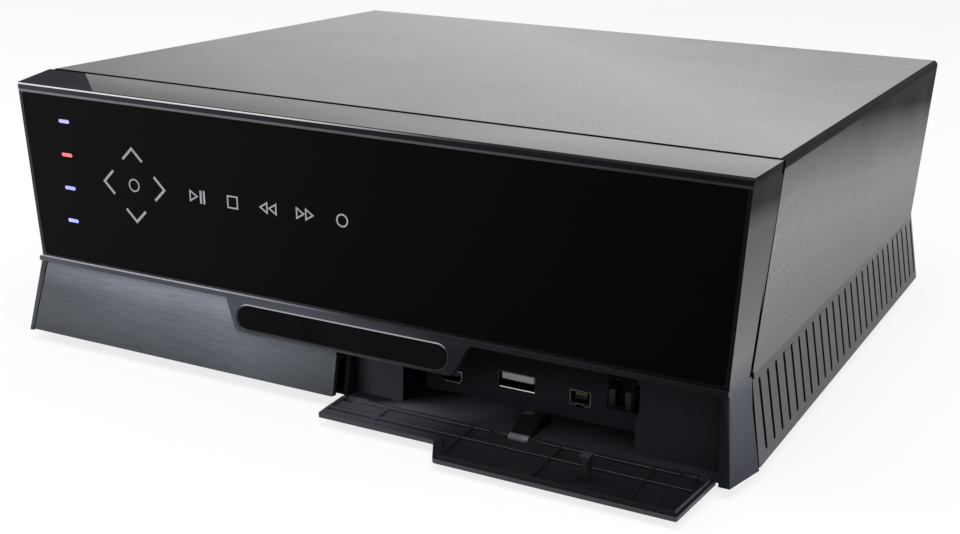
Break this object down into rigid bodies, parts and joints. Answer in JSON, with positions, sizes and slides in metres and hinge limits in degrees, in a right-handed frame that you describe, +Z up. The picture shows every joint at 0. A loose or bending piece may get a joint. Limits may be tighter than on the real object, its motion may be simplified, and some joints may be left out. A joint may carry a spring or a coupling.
{
  "type": "media player with hard drive tray",
  "caption": "Desktop media recorder with touch keys behind a gloss window, a fold-down flap over front sockets and a pull-out hard drive tray in a pinched-waist case.",
  "frame": {"origin": "middle of the footprint, on the table, flap open and tray in", "axes": "+X to the right seen from the front, +Y to the rear, +Z up"},
  "size_m": [0.2624, 0.2628, 0.0927],
  "materials": {
    "cover_paint": "satin black powder coat",
    "panel_paint": "satin black",
    "zinc_steel": "zinc plated, dull",
    "bezel_black": "gloss",
    "window_black": "polished tinted acrylic",
    "fascia_brushed": "brushed, dark blue grey",
    "flap_black": "semi-matt",
    "recess_black": "semi-matt",
    "badge_black": "gloss",
    "foot_rubber": "matt",
    "socket_metal": "nickel plated",
    "socket_black": "matt",
    "board_green": "solder resist",
    "chip_black": "matt",
    "sink_aluminium": "extruded",
    "drive_aluminium": "cast, satin",
    "drive_steel": "stamped",
    "screw_steel": "plated",
    "light_clear": "clear",
    "guide_white": "matt",
    "fan_black": "matt",
    "capacitor_sleeve": "sleeve",
    "pin_steel": "bright drawn",
    "runner_nylon": "natural"
  },
  "bodies": {
    "case": {"top_cover": "cover_paint", "cover_screws": "screw_steel", "base_pan": "zinc_steel", "feet": "foot_rubber", "rear_panel": "panel_paint", "front_bezel": "bezel_black", "touch_window": "window_black", "badge_plate": "badge_black", "key_board": "board_green", "key_board_screws": "screw_steel", "light_guide": "guide_white", "indicator_lights": "light_clear", "remote_receiver": "chip_black", "port_recess": "recess_black", "mini_usb_socket": "socket_metal", "usb_socket": "socket_metal", "dv_socket": "socket_black", "front_io_board": "board_green", "catch_housing": "recess_black", "catch_spring": "pin_steel", "hinge_arm": "bezel_black", "hinge_pins": "pin_steel", "tray_rails": "zinc_steel", "rail_screws": "screw_steel", "backplane_connector": "socket_black", "backplane_board": "board_green", "backplane_bracket": "zinc_steel", "main_board": "board_green", "board_standoffs": "zinc_steel", "board_screws": "screw_steel", "processor": "chip_black", "heat_sink": "sink_aluminium", "memory_chips": "chip_black", "capacitors": "capacitor_sleeve", "power_jack": "socket_black", "hdmi_socket": "socket_metal", "optical_socket": "socket_black", "rear_usb_socket": "socket_metal", "lan_socket": "socket_metal", "av_socket_block": "socket_black", "tuner_can": "socket_metal", "antenna_socket": "socket_metal", "fan_frame": "fan_black", "fan_screws": "screw_steel"},
    "tray": {"tray_fascia": "fascia_brushed", "fascia_screws": "screw_steel", "drive_tray": "zinc_steel", "tray_runners": "runner_nylon", "drive_case": "drive_aluminium", "drive_lid": "drive_steel", "drive_board": "board_green", "drive_connector": "socket_black", "drive_screws": "screw_steel"},
    "flap": {"port_flap": "flap_black"},
    "catch": {"catch_plunger": "flap_black"},
    "fan": {"fan_rotor": "fan_black"}
  },
  "joints": [
    {"name": "tray_slide", "type": "slide", "parent": "case", "child": "tray", "axis": [0, -1, 0], "range_m": [0, 0.1]},
    {"name": "flap_hinge", "type": "hinge", "parent": "case", "child": "flap", "pos_m": [0, -0.10674, 0.004], "axis": [-1, 0, 0], "range_deg": [0, 102.8]},
    {"name": "catch_slide", "type": "slide", "parent": "case", "child": "catch", "axis": [0, 1, 0], "range_m": [0, 0.0025], "stiffness_N_per_m": 300, "springref_m": -0.003, "deforming": ["catch_spring"]},
    {"name": "fan_spin", "type": "hinge", "parent": "case", "child": "fan", "pos_m": [-0.092, 0.11836, 0.0515], "axis": [0, 1, 0], "continuous": true}
  ]
}
